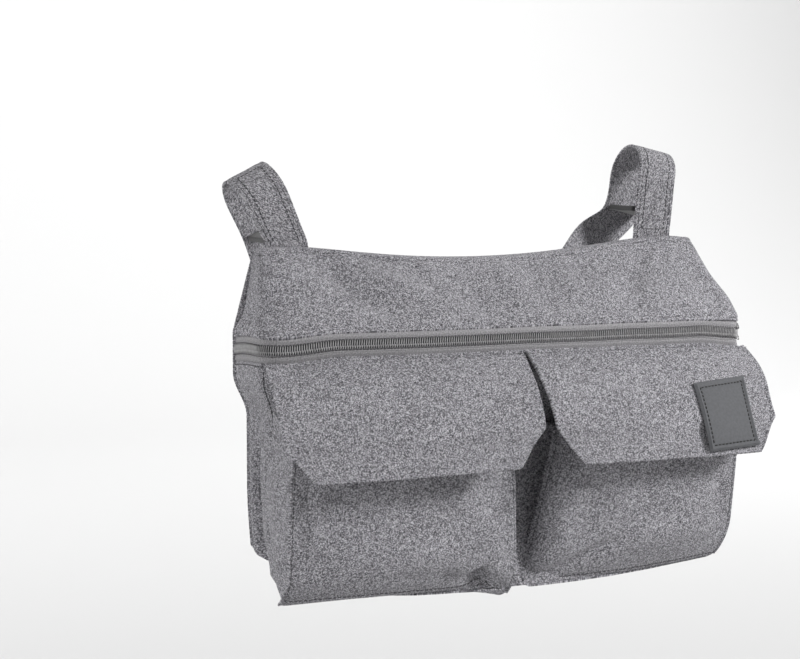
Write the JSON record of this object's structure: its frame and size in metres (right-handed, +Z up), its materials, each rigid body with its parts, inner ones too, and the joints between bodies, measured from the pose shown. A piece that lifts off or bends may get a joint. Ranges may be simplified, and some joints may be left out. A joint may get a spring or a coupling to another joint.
{
  "type": "organizer bag",
  "caption": "Soft zipped fabric pouch with flapped bellows pockets in front and a strap whose loops close around a bar, so that the bag hangs below it.",
  "frame": {"origin": "on the axis of the bar that the two loops close around, above the middle of the bag", "axes": "-Y is the bag's front, +X its right as seen from the front, +Z up"},
  "size_m": [0.3565, 0.1462, 0.2804],
  "materials": {
    "body_cloth": "grey melange twill, matte",
    "strap_cloth": "grey melange twill strap with edge stitching, matte",
    "zip_tape": "fine woven tape, matte",
    "zip_teeth": "moulded coil, satin",
    "zip_metal": "dark plated, satin",
    "label_rubber": "moulded soft patch, satin",
    "black_tab": "hook and loop tape, matte"
  },
  "bodies": {
    "bag": {"back_panel": "body_cloth", "yoke": "body_cloth", "front_panel": "body_cloth", "left_gusset": "body_cloth", "right_gusset": "body_cloth", "bottom_panel": "body_cloth", "left_pocket": "body_cloth", "left_pocket_gusset": "body_cloth", "right_pocket": "body_cloth", "right_pocket_gusset": "body_cloth", "left_flap": "body_cloth", "right_flap": "body_cloth", "zip_tape_upper": "zip_tape", "zip_tape_lower": "zip_tape", "zip_coil": "zip_teeth", "label_patch": "label_rubber", "carry_strap": "strap_cloth", "left_loop_tab": "black_tab", "right_loop_tab": "black_tab"},
    "zip_slider": {"zip_slider": "zip_metal"},
    "zip_puller": {"zip_puller": "zip_metal"}
  },
  "joints": [
    {"name": "zip_slide", "type": "slide", "parent": "bag", "child": "zip_slider", "axis": [0, -1, 0], "range_m": [0, 0.018]},
    {"name": "puller_swing", "type": "hinge", "parent": "zip_slider", "child": "zip_puller", "pos_m": [0.1824, -0.025, -0.0958], "axis": [0, 0, 1], "range_deg": [0, 150]}
  ]
}
